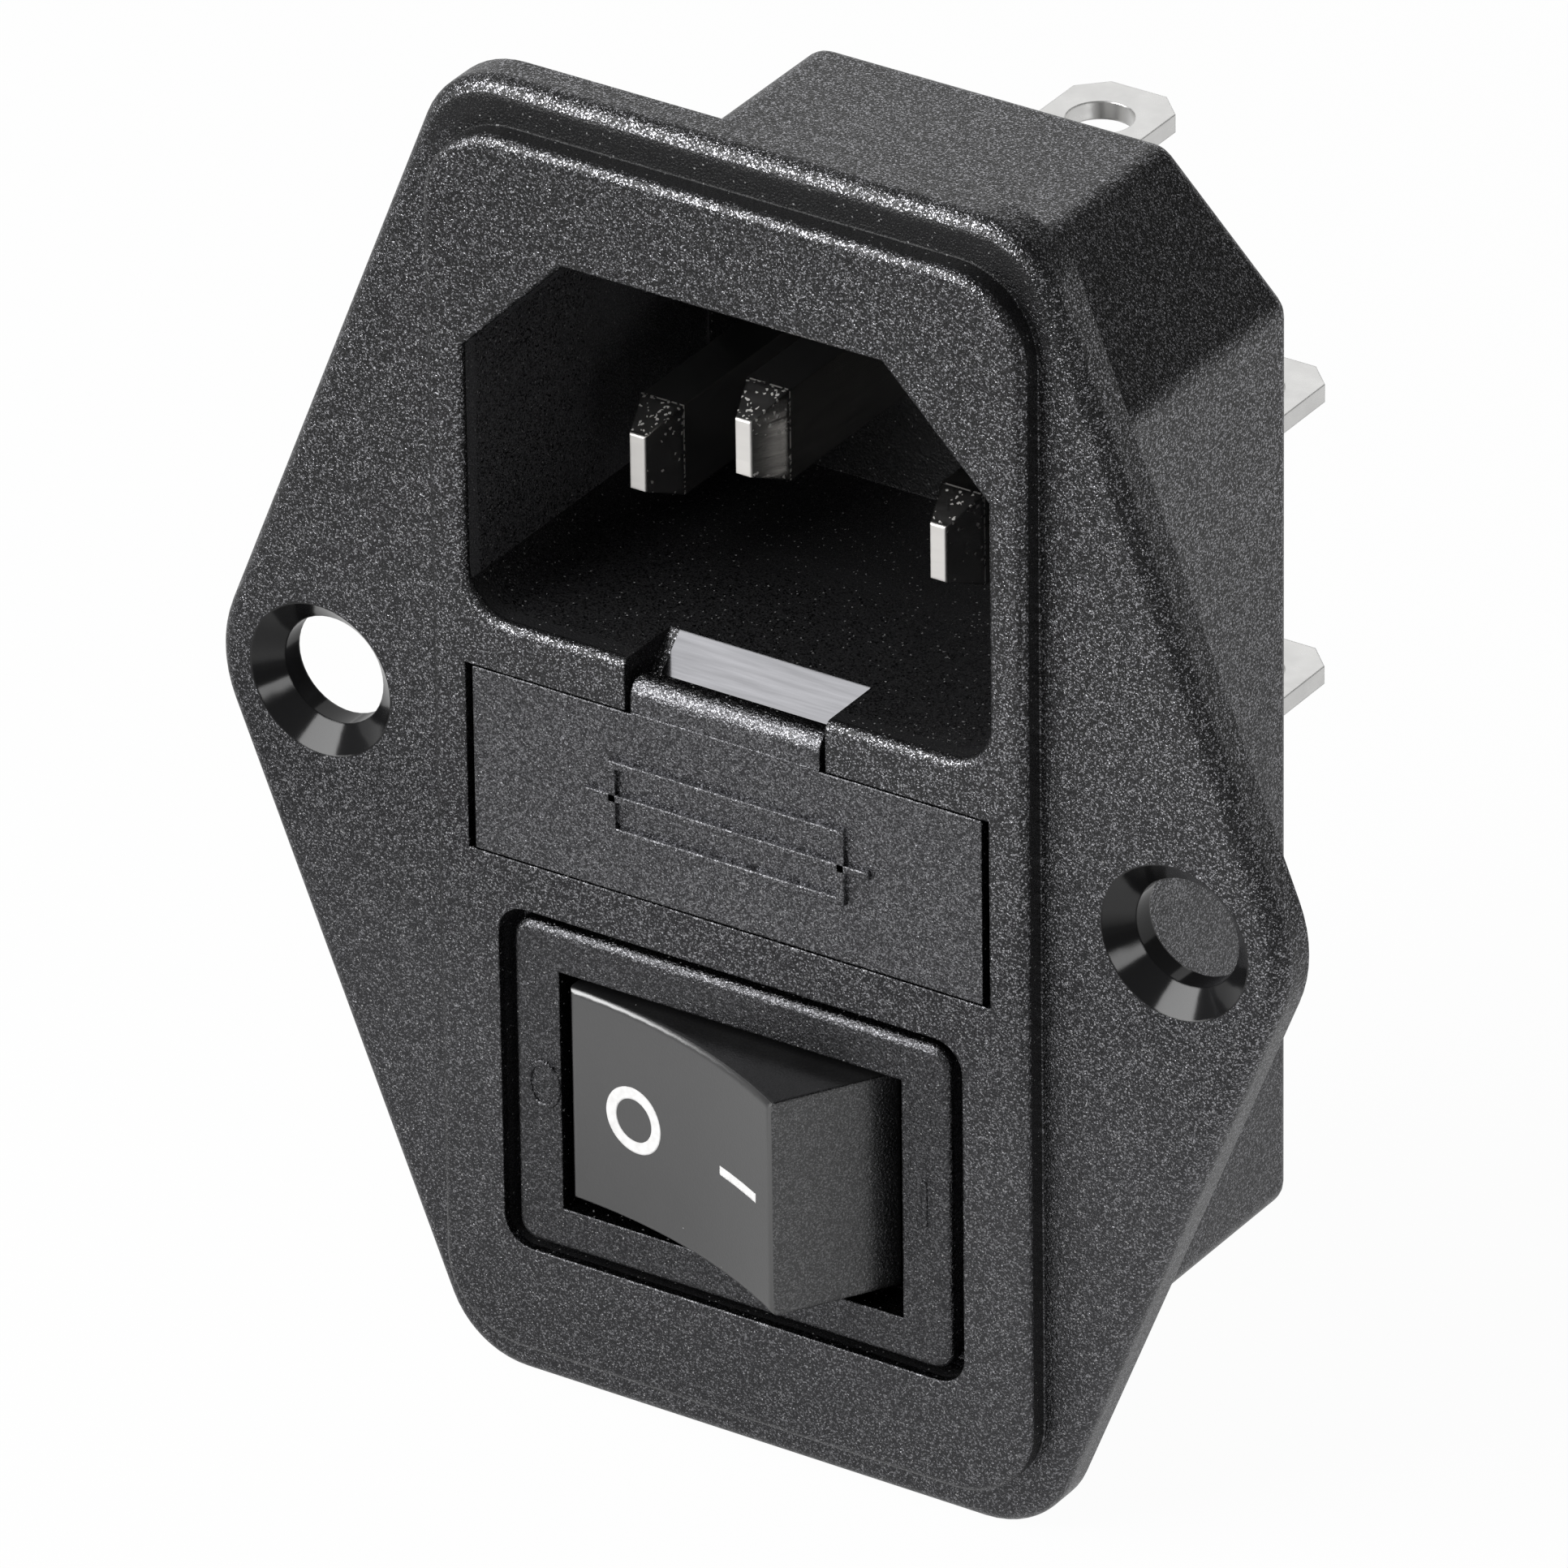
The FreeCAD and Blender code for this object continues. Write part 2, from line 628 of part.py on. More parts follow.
def make_live_contact(doc):
    """Strap riveted to the live pin, running down the rear face to the leaf at the fuse's left end."""
    body = new_body(doc, "live_fuse_contact")
    inner = "size.tab_w / 2 - size.pin_pitch / 2"
    strap = block("-(size.leaf_outer)", inner, "size.leaf_low", "size.pin_z + size.leg_past_rivet")
    pad(body, "strap", XZ, "size.rear", "size.tab_t", strap)
    rivet = ("-size.pin_pitch / 2", "size.pin_z", "size.tenon_d")
    pocket(body, "rivet_hole", XZ, "size.rear", "size.tab_t", rivet)
    add_leaf(body, "-")


def make_line_terminal(doc, size):
    """Leaf at the fuse's right end, joined on the rear face to the outgoing line tab."""
    body = new_body(doc, "fused_line_terminal")
    inner = "size.pin_pitch / 2 - size.tab_w / 2"
    low = "size.line_tab_low"
    leg = block(inner, "size.leaf_outer", low, "size.leaf_low + size.leaf_h")
    pad(body, "leg", XZ, "size.rear", "size.tab_t", leg)
    add_leaf(body, "")
    add_tab(body, "size.pin_pitch / 2", low)
    round_bend(body, size, size.line_tab_low + size.tab_t)


def make_drawer(doc, size):
    """Fuse drawer: face plate with a pull lip, a tray for a spare and a cradle for the working fuse."""
    body = new_body(doc, "fuse_drawer")
    face = rectangle("0", "size.bay_z", "size.bay_w - 2 * size.drawer_side_gap",
                     "size.bay_h - 2 * size.drawer_gap")
    pad(body, "plate", XZ, "size.panel_face", "size.drawer_plate_t", face)
    half = "size.pull_w / 2"
    lip = block(f"-{half}", half, "size.bay_z", "size.lip_top")
    pad(body, "pull", XZ, "size.panel_face", "size.pull_t", lip)
    front_edge = along("x", y=size.panel_face, z=size.lip_top)
    dress(body, "Fillet", "pull_edge", "size.pull_edge_r", front_edge)
    tray = rectangle("0", "size.bay_z", "size.tray_w", "size.tray_h")
    pad(body, "tray", XZ, "size.panel_face", "size.tray_back - size.panel_face", tray)
    inside = "size.tray_w / 2 - size.tray_wall"
    hollow = block(f"-({inside})", inside, "size.plate_back", "size.tray_back - size.tray_wall")
    pocket(body, "tray_hollow", XY, "size.tray_low + size.tray_wall", "size.bay_h", hollow)
    half = "size.cradle_w / 2"
    floor = block(f"-{half}", half, "size.tray_back - size.tray_wall", "size.cradle_back")
    pad(body, "cradle", XY, "size.tray_low", "size.tray_wall", floor)
    for side, sign in SIDES:
        saddle = rectangle(f"{sign}size.saddle_x", "size.fuse_y", "size.saddle_t", "size.saddle_l")
        height = "size.bay_z + size.saddle_wrap - size.tray_low"
        pad(body, f"{side}_saddle", XY, "size.tray_low", height, saddle)
    reach = "(size.saddle_x + size.saddle_t)"
    seat = ("size.fuse_y", "size.bay_z", "size.glass_d + 2 * size.saddle_gap")
    pocket(body, "fuse_seat", YZ, f"-{reach}", f"2 * {reach}", seat)


def make_fuse(doc, size):
    """Glass-tube fuse along X: tube, two end caps and the fuse wire between them."""
    inner_l = "(size.fuse_l - 2 * size.cap_end_t)"
    tube = new_body(doc, "fuse_glass_tube")
    pad(tube, "tube", YZ, f"-{inner_l} / 2", inner_l, ("0", "0", "size.glass_d"))
    pocket(tube, "bore", YZ, f"-{inner_l} / 2", inner_l, ("0", "0", "size.glass_bore_d"))
    place(tube, y="size.fuse_y", z="size.bay_z")
    wire = new_body(doc, "fuse_wire")
    pad(wire, "wire", YZ, f"-{inner_l} / 2", inner_l, ("0", "0", "size.fuse_wire_d"))
    place(wire, y="size.fuse_y", z="size.bay_z")
    start = "size.fuse_l / 2 - size.cap_l"
    for side, turn in (("left", "180"), ("right", "0")):
        cap = new_body(doc, f"fuse_cap_{side}")
        pad(cap, "cup", YZ, start, "size.cap_l", ("0", "0", "size.cap_d"))
        pocket(cap, "mouth", YZ, start, "size.cap_l - size.cap_end_t", ("0", "0", "size.glass_d"))
        place(cap, y="size.fuse_y", z="size.bay_z", turn=turn)
        dress(cap, "Chamfer", "rim", "size.cap_bevel", level("x", size.fuse_l / 2))


def make_switch_body(doc, size):
    """Switch frame: bezel and box in one, with trunnion holes, terminal slots and a snap wing each end."""
    body = new_body(doc, "switch_body")
    bezel = rectangle("0", "0", "size.bezel_w", "size.bezel_h")
    pad(body, "bezel", XZ, "size.panel_face", "size.bezel_t", bezel)
    dress(body, "Fillet", "bezel_corners", "size.bezel_r", along("y", x=size.bezel_w / 2))
    dress(body, "Fillet", "bezel_edge", "size.bezel_edge_r", level("y", size.panel_face))
    box = rectangle("0", "0", "size.box_w", "size.box_h")
    box_front = "size.bezel_back - size.bezel_t / 2"
    pad(body, "box", XZ, box_front, f"size.box_back - ({box_front})", box)
    opening = rectangle("0", "0", "size.opening_w", "size.opening_h")
    pocket(body, "opening", XZ, "size.panel_face", "size.bezel_t", opening)
    room = rectangle("0", "0", "size.box_w - 2 * size.box_wall", "size.box_h - 2 * size.box_wall")
    pocket(body, "room", XZ, "size.bezel_back", "size.box_back - size.box_wall - size.bezel_back", room)
    trunnion = ("0", "size.pivot_y", "size.trunnion_d + 2 * size.trunnion_gap")
    pocket(body, "trunnion_holes", XY, "-size.box_h", "2 * size.box_h", trunnion)
    for name, x in (("common", "0"), ("output", "size.output_x")):
        slot = rectangle(x, "0", "size.tab_t", "size.tab_w")
        pocket(body, f"{name}_slot", XZ, "size.box_back - 2 * size.box_wall", "3 * size.box_wall", slot)
    start = "(size.web_back + size.snap_gap)"
    end = f"{start} + size.snap_l"
    for side, sign in SIDES:
        root = f"{sign}(size.box_w / 2 - size.box_wall / 2)"
        skin = f"{sign}size.box_w / 2"
        crest = f"{sign}(size.box_w / 2 + size.snap_rise)"
        wing = [(root, start), (crest, start), (skin, end), (root, end)]
        pad(body, f"{side}_snap", XY, "-size.snap_h / 2", "size.snap_h", wing)
    place(body, z="size.switch_z")


def rocker_paddle(body, size):
    """The rocker's paddle with its dished face, softened face edges and hollow underside."""
    paddle = mirrored([("size.rocker_tip_w / 2", "-size.rocker_rise"),
                       ("size.rocker_base_w / 2", "size.rocker_base_y"),
                       ("size.rocker_skirt_w / 2", "size.rocker_skirt_y")])
    pad(body, "paddle", XY, "-size.rocker_h / 2", "size.rocker_h", paddle)
    dish_y = "-size.rocker_rise - sqrt(size.rocker_face_r ^ 2 - (size.rocker_tip_w / 2) ^ 2)"
    dish = ("0", dish_y, "2 * size.rocker_face_r")
    pocket(body, "dish", XY, "-size.rocker_h", "2 * size.rocker_h", dish)

    def face_edge(points):
        tip = all(near(p.y, -size.rocker_rise) for p in points)
        at_cheek = all(near(p.z, points[0].z) for p in points)
        return tip or (at_cheek and max(p.y for p in points) < size.rocker_crown_y)
    dress(body, "Fillet", "face_edges", "size.rocker_edge_r", face_edge)
    side = "size.rocker_tip_w / 2 - size.rocker_wall"
    room = mirrored([(side, "size.rocker_crown_y"), (side, "size.rocker_base_y"),
                     ("size.rocker_skirt_w / 2 - size.rocker_wall", "2 * size.rocker_skirt_y")])
    inner_h = "(size.rocker_h - 2 * size.rocker_wall)"
    pocket(body, "room", XY, f"-{inner_h} / 2", inner_h, room)


def make_rocker(doc, size):
    """Rocker: hollow paddle with a stem for the plunger and two trunnions, about its pivot."""
    body = new_body(doc, "rocker")
    rocker_paddle(body, size)
    stem_start = "size.rocker_crown_y"
    pad(body, "stem", XZ, stem_start, f"size.stem_y - {stem_start}", ("0", "0", "size.stem_d"))
    bore = ("0", "0", "size.stem_bore_d")
    pocket(body, "stem_bore", XZ, "size.stem_bore_y", "size.stem_y - size.stem_bore_y", bore)
    root = "(size.rocker_h / 2 - size.rocker_wall / 2)"
    length = "(size.trunnion_l + size.rocker_wall / 2)"
    for side, start in (("upper", root), ("lower", f"-{root} - {length}")):
        pad(body, f"{side}_trunnion", XY, start, length, ("0", "0", "size.trunnion_d"))
    place(body, y="size.pivot_y", z="size.switch_z", turn="-size.rocker_tilt")


def make_plunger(doc, size):
    """Plunger with a bevelled nose, in the rocker's stem."""
    body = new_body(doc, "plunger")
    pad(body, "pin", XZ, "size.plunger_start", "size.plunger_l", ("0", "0", "size.plunger_d"))
    dress(body, "Chamfer", "nose", "size.plunger_tip_bevel", level("y", size.plunger_reach))
    place(body, y="size.pivot_y", z="size.switch_z", turn="-size.rocker_tilt")


def make_spring(doc, size):
    """Compression spring of square wire between the bottom of the stem's bore and the plunger, along Y."""
    inset = size.spring_gap + size.spring_wire_d / 2
    start = size.stem_bore_y + inset
    length = size.plunger_start - inset - start
    radius = (size.spring_d - size.spring_wire_d) / 2
    coil = Part.makeHelix(length / size.spring_turns, length, radius)
    to_y_axis = FreeCAD.Rotation(FreeCAD.Vector(1, 0, 0), -90)
    coil.Placement = FreeCAD.Placement(FreeCAD.Vector(0, start, 0), to_y_axis)
    half = size.spring_wire_d / 2
    corners = [(-half, -half), (half, -half), (half, half), (-half, half), (-half, -half)]
    section = Part.makePolygon([FreeCAD.Vector(radius + x, start + y, 0) for x, y in corners])
    spring = doc.addObject("Part::Feature", "plunger_spring")
    spring.Label = "plunger_spring"
    spring.Shape = Part.Wire(coil.Edges).makePipeShell([section], True, True)
    place(spring, y="size.pivot_y", z="size.switch_z", turn="-size.rocker_tilt")


def make_lever(doc, size):
    """Rocking contact lever, a strip bent to a shallow V with a waist between the knife edge's ears."""
    body = new_body(doc, "contact_lever")
    end = "size.lever_l / 2"
    right = [("size.lever_v_x", "-size.lever_v_rise"), (end, "-size.lever_v_rise"),
             (end, "size.lever_under"), ("size.lever_v_x", "size.lever_under")]
    left = [(f"-{x}", y) for x, y in reversed(right)]
    strip = [("0", "0")] + right + [("0", "size.lever_t")] + left
    pad(body, "strip", XY, "-size.lever_w / 2", "size.lever_w", strip)
    waist = rectangle("0", "0", "size.lever_waist_l", "4 * size.lever_t")
    notch = "(size.lever_w - size.lever_waist_w) / 2"
    for side, start in (("upper", "size.lever_waist_w / 2"), ("lower", "-size.lever_w / 2")):
        pocket(body, f"{side}_waist", XY, start, notch, waist)
    place(body, y="size.lever_y", z="size.switch_z", turn="size.lever_tilt")


def make_contacts(doc, size):
    """The moving contact under the lever's left arm, and the fixed contact that it closes on."""
    button = ("-size.contact_x", "0", "size.contact_d")
    moving = new_body(doc, "moving_contact_button")
    pad(moving, "button", XZ, "size.lever_under", "size.contact_t", button)
    crown = max(vertex.Y for vertex in moving.Shape.Vertexes)
    dress(moving, "Chamfer", "crown", "size.contact_bevel", level("y", crown))
    place(moving, y="size.lever_y", z="size.switch_z", turn="size.lever_tilt")
    fixed = new_body(doc, "fixed_contact_button")
    pad(fixed, "button", XZ, "size.contact_y", "size.contact_t", button)
    crown = min(vertex.Y for vertex in fixed.Shape.Vertexes)
    dress(fixed, "Chamfer", "crown", "size.contact_bevel", level("y", crown))
    place(fixed, z="size.switch_z")


def add_switch_blade(body, start):
    """Adds a switch blade in the YZ plane, from start back to its bevelled end with an eye."""
    half = "size.tab_w / 2"
    shoulder = "size.switch_tab_end - size.tab_corner"
    corner = f"{half} - size.tab_corner"
    outline = [(start, f"-{half}"), (shoulder, f"-{half}"), ("size.switch_tab_end", f"-({corner})"),
               ("size.switch_tab_end", corner), (shoulder, half), (start, half)]
    pad(body, "blade", YZ, "-size.tab_t / 2", "size.tab_t", outline)
    eye = ("size.switch_tab_end - size.tab_hole_setback", "0", "size.tab_hole_d")
    pocket(body, "eye", YZ, "-size.tab_t / 2", "size.tab_t", eye)


def make_switch_terminals(doc):
    """Common blade with the lever's knife edge between two ears, and output blade with its contact ledge."""
    common = new_body(doc, "switch_common_terminal")
    ears = "size.knife_y - size.knife_ear_rise"
    add_switch_blade(common, ears)
    seat = rectangle(ears, "0", "2 * size.knife_ear_rise", "size.tab_w - 2 * size.knife_ear_w")
    pocket(common, "knife_edge", YZ, "-size.tab_t / 2", "size.tab_t", seat)
    place(common, z="size.switch_z")
    output = new_body(doc, "switch_output_terminal")
    add_switch_blade(output, "size.ledge_y")
    half = "size.tab_w / 2"
    ledge = block("-size.tab_t / 2", "size.output_ledge_l - size.tab_t / 2", f"-{half}", half)
    pad(output, "ledge", XZ, "size.ledge_y", "size.tab_t", ledge)
    place(output, x="size.output_x", z="size.switch_z")


def sub_parts(doc):
    """The finished sub-parts: the document's bodies and free shapes."""
    return [item for item in doc.Objects if item.TypeId in ("PartDesign::Body", "Part::Feature")]


def check(doc):
    """Stops on any object that failed to build, and on any sub-part without one valid solid."""
    doc.recompute()
    for item in doc.Objects:
        if "Invalid" in item.State or "Error" in item.State:
            raise RuntimeError(f"{item.Label} failed: {item.State}")
    for node in sub_parts(doc):
        if node.Shape.isNull() or not node.Shape.isValid() or len(node.Shape.Solids) != 1:
            raise RuntimeError(f"{node.Label} is not one valid solid")


def main():
    """Builds every sub-part and writes one file for each."""
    doc = FreeCAD.newDocument("mains_inlet")
    size = make_sheet(doc)
    make_housing(doc, size)
    make_pins(doc, size)
    make_earth_terminal(doc, size)
    make_neutral_terminal(doc, size)
    make_live_contact(doc)
    make_line_terminal(doc, size)
    make_drawer(doc, size)
    make_fuse(doc, size)
    make_switch_body(doc, size)
    make_rocker(doc, size)
    make_plunger(doc, size)
    make_spring(doc, size)
    make_lever(doc, size)
    make_contacts(doc, size)
    make_switch_terminals(doc)
    check(doc)
    os.makedirs("parts", exist_ok=True)
    for node in sub_parts(doc):
        node.Shape.exportStep(f"parts/{node.Label}.step")


main()
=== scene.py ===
"""Looks of a panel-mount mains inlet: its finishes, its printed and moulded marks, a studio and the camera."""
import bmesh
import bpy
import json
import numpy as np
from mathutils import Matrix, Vector


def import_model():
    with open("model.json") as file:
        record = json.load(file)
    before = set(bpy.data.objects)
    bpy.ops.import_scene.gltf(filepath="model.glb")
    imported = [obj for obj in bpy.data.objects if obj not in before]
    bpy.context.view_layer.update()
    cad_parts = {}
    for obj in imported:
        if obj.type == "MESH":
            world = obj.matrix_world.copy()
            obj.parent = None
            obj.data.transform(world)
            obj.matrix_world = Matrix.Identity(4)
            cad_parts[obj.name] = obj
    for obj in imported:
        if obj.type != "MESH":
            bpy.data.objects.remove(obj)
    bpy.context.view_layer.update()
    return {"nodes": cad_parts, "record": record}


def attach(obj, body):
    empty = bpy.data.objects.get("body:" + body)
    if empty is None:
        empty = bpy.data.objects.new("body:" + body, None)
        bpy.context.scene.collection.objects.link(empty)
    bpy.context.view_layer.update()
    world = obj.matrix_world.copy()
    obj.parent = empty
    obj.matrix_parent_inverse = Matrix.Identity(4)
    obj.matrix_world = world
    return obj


MM = 0.001

# Places on the part, in millimetres of its frame.
FLOOR = -29.2
PANEL_FACE = -3.15
FLANGE_FACE = -2.0
HOLE_X = 20.0
COUNTERSINK_RADIUS = 3.38
NOTCH_LEFT = -4.25
NOTCH_RIGHT = 4.71
NOTCH_OFFSET = 5.65
SOCKET_HALF_WIDTH = 12.6
SOCKET_HALF_HEIGHT = 8.8
SOCKET_Z = 14.0
SOCKET_CORNER = 30.3
PIN_END = 1.5
PIN_SHOULDER = 12.5
PIN_TAPER = 1.85
EARTH_HALF_WIDTH = 4.0
EARTH_AHEAD = 3.05
EARTH_ABOVE = 4.05
PIVOT = (0.0, 0.95, -14.65)
ROCKER_TILT = np.radians(-16.6)
ROCKER_FLANK = 4.82
RAISED_END = (0.8539, -0.5206, 6.95)
DISH_RADIUS = 25.4
DISH_BOTTOM = -5.344

# A point this near a face, in millimetres, counts as on it.
SKIN = 0.04

# Tints of the black plastics, below zero for blue.
HOUSING_TINT = -0.05
ROCKER_TINT = -0.03

# Cells to the metre of the spark-eroded grain, and of the nicks on the pins.
GRAIN_SCALE = 18000.0
NICK_SCALE = 9000.0

# A tip of the grain looks wholly like bare metal from this share on.
METAL_FROM = 0.06


class Socket:
    """A node's output. Arithmetic on it adds Math nodes to the same tree."""

    def __init__(self, finish, socket):
        self.finish = finish
        self.socket = socket

    def math(self, operation, first, second=0.0):
        return self.finish.node("ShaderNodeMath", {"operation": operation}, {0: first, 1: second})

    def __add__(self, other):
        return self.math("ADD", self, other)

    def __radd__(self, other):
        return self.math("ADD", other, self)

    def __sub__(self, other):
        return self.math("SUBTRACT", self, other)

    def __rsub__(self, other):
        return self.math("SUBTRACT", other, self)

    def __mul__(self, other):
        return self.math("MULTIPLY", self, other)

    def __rmul__(self, other):
        return self.math("MULTIPLY", other, self)

    def __pow__(self, other):
        return self.math("POWER", self, other)

    def __lt__(self, other):
        return self.math("LESS_THAN", self, other)

    def __gt__(self, other):
        return self.math("GREATER_THAN", self, other)

    def __abs__(self):
        return self.math("ABSOLUTE", self)


class Finish:
    """One node tree, filled node by node."""

    def __init__(self, name):
        self.material = bpy.data.materials.new(name)
        self.material.use_nodes = True
        self.tree = self.material.node_tree
        self.tree.nodes.clear()

    def node(self, kind, settings=None, inputs=None, out=0):
        """Adds a node: its settings first, then its sockets' values or links; returns one output."""
        made = self.tree.nodes.new(kind)
        for name, value in (settings or {}).items():
            setattr(made, name, value)
        for name, value in (inputs or {}).items():
            if isinstance(value, Socket):
                self.tree.links.new(value.socket, made.inputs[name])
            else:
                made.inputs[name].default_value = value
        return Socket(self, made.outputs[out])

    def place(self):
        """Object coordinates, in metres of the part's frame."""
        return self.node("ShaderNodeTexCoord", out="Object")

    def axes(self, vector):
        """The three numbers of a vector."""
        parts = self.node("ShaderNodeSeparateXYZ", inputs={0: vector})
        return [Socket(self, parts.socket.node.outputs[i]) for i in range(3)]

    def noise(self, scale, detail=2.0, roughness=0.55, vector=None):
        """Soft noise about 0.5, with features about 1 / scale metres wide."""
        settings = {"Vector": vector or self.place(), "Scale": scale, "Detail": detail, "Roughness": roughness}
        return self.node("ShaderNodeTexNoise", inputs=settings)

    def streaks(self, scale):
        """Noise drawn out along the axis whose scale is the least."""
        stretched = self.node("ShaderNodeMapping", inputs={"Vector": self.place(), "Scale": scale})
        return self.noise(1.0, 3.0, 0.6, stretched)

    def cells(self, scale):
        """Three chances, each even from 0 to 1, for every cell; the cells are about 1 / scale metres wide."""
        settings = {"Vector": self.place(), "Scale": scale}
        return self.axes(self.node("ShaderNodeTexVoronoi", inputs=settings, out="Color"))

    def ramp(self, value, low, high, low_out=0.0, high_out=1.0):
        """Straight ramp of a value, held at both ends."""
        ends = {0: value, 1: low, 2: high, 3: low_out, 4: high_out}
        return self.node("ShaderNodeMapRange", {"clamp": True}, ends)

    def spread(self, noise, low_out=0.0, high_out=1.0):
        """Noise about 0.5, spread over a range of values."""
        return self.ramp(noise, 0.3, 0.7, low_out, high_out)

    def blend(self, factor, first, second):
        """Mix of two colours."""
        inputs = {0: factor, 6: first, 7: second}
        return self.node("ShaderNodeMix", {"data_type": "RGBA"}, inputs, out=2)

    def bump(self, height, distance, edge=0.00012):
        """Normal of a relief over the surface, whose sharp edges are softened by a small radius."""
        soft = self.node("ShaderNodeBevel", {"samples": 6}, {"Radius": edge})
        inputs = {"Strength": 1.0, "Distance": distance, "Height": height, "Normal": soft}
        return self.node("ShaderNodeBump", inputs=inputs)

    def close(self, shader):
        """Ends the tree with a shader."""
        out = self.tree.nodes.new("ShaderNodeOutputMaterial")
        self.tree.links.new(shader.socket, out.inputs["Surface"])
        return self.material

    def end(self, **sockets):
        """Ends the tree with a Principled shader; socket names have _ for a space."""
        inputs = {name.replace("_", " "): value for name, value in sockets.items()}
        return self.close(self.node("ShaderNodeBsdfPrincipled", inputs=inputs))


def grey(value, warmth=0.0):
    """Opaque grey, with a little warmth or, below zero, blueness."""
    return (value * (1 + max(warmth, 0.0)), value, value * (1 - warmth), 1.0)


def dimmed(colour, share):
    """A share of an opaque colour."""
    return tuple(share * c for c in colour[:3]) + (1.0,)


def glinting_tips(f, bare):
    """Share of each grain, about 0.06 mm across, that glints like a bare facet, none on a bare share of them; and
    a mask of the few grains that are pale specks."""
    chance, other, _ = f.cells(GRAIN_SCALE)
    return f.ramp(chance, bare, 1.0) ** 1.7, other > 0.994


def eroded_plastic(name, bare, glint, calm=1.0, tooled=False):
    """Black moulding with a spark-eroded grain, dark pits and glinting tips, evened out where calm is below 1; the
    housing is calmer low down, has smooth tool faces, painted shade on its panel's steps and far inside its socket,
    and painted light on the socket's left side and roof."""
    f = Finish(name)
    relief = f.noise(10000.0, 2.0, 0.6)
    tip, speck = glinting_tips(f, bare)
    even_tip = (1.0 - bare) / 2.3
    if tooled:
        calm = f.ramp(f.axes(f.place())[2], -12 * MM, 10 * MM, 0.5, calm)
    tip = tip * calm + (1.0 - calm) * even_tip
    rough = f.spread(relief, 0.19, 0.31)
    ground = grey(0.008, HOUSING_TINT)
    if tooled:
        countersink, ramp, step_shade, socket, painted_light_walls, depth_shade = tool_faces(f)
        gloss = f.node("ShaderNodeMath", {"operation": "MAXIMUM"}, {0: countersink, 1: ramp})
        matte = 1.0 - gloss
        relief = relief * matte
        rough = rough * matte + 0.12 * gloss
        brushed = f.spread(f.streaks((250.0, 5000.0, 5000.0)), 0.082, 0.116)
        # Painted shade: far fewer glinting tips on the panel's steps and the strip over them, and fewer further
        # inside the socket.
        tip = tip * matte * (1.0 - 0.95 * step_shade) * (1.0 - socket * depth_shade) + brushed * ramp
        # Painted shade and light in the socket: its ground darkens further in, and its left side, roof and top
        # corner are lighter.
        shaded_depths = f.blend(depth_shade, grey(0.02, HOUSING_TINT), grey(0.012, HOUSING_TINT))
        inside = f.blend(painted_light_walls, shaded_depths, grey(0.065, HOUSING_TINT))
        ground = f.blend(socket * matte, ground, inside)
        speck = speck * matte
    grain = f.blend(tip, ground, grey(glint, HOUSING_TINT))
    colour = f.blend(speck, grain, grey(0.26))
    metal = f.ramp(tip, 0.0, METAL_FROM) * (1.0 - speck)
    return f.end(Base_Color=colour, Metallic=metal, Roughness=rough, Normal=f.bump(relief, 0.05 * MM),
                 Specular_IOR_Level=0.4)


def tool_faces(f):
    """Masks on the housing: the polished countersinks and finger-notch ramp, the raised panel's side walls and the
    strip of flange over it, darkened as painted shade, the inside of the socket, its left side and roof, lightened
    as painted light, and how far in a point lies, darkened inward as painted shade."""
    x, y, z = f.axes(f.place())
    from_hole = (abs(x) - HOLE_X * MM) ** 2.0 + z ** 2.0
    countersink = from_hole < (COUNTERSINK_RADIUS * MM) ** 2
    off_ramp = abs(y - z + NOTCH_OFFSET * MM)
    ramp = (off_ramp < SKIN * MM) * (x > NOTCH_LEFT * MM) * (x < NOTCH_RIGHT * MM)
    # Painted shade on the panel's side walls and on the flange strip over the panel.
    margin_shade = f.ramp(z, 24.5 * MM, 27.3 * MM) * (abs(y - FLANGE_FACE * MM) < SKIN * MM)
    step_shade = (y > -2.75 * MM) * (y < (FLANGE_FACE - SKIN) * MM) + margin_shade
    in_box = (abs(x) < SOCKET_HALF_WIDTH * MM) * (abs(z - SOCKET_Z * MM) < SOCKET_HALF_HEIGHT * MM)
    socket = (y > -2.7 * MM) * (y < 14.8 * MM) * in_box * (abs(x) + z < SOCKET_CORNER * MM)
    # Painted light on the socket's left side, roof and top corner; below, painted shade growing further in.
    painted_light_walls = (x < -12.1 * MM) + (z > 22 * MM) + (z - x > 29.6 * MM)
    depth_shade = f.ramp(y, -2.5 * MM, 8 * MM, 0.4, 1.0)
    return countersink, ramp, step_shade, socket, painted_light_walls, depth_shade


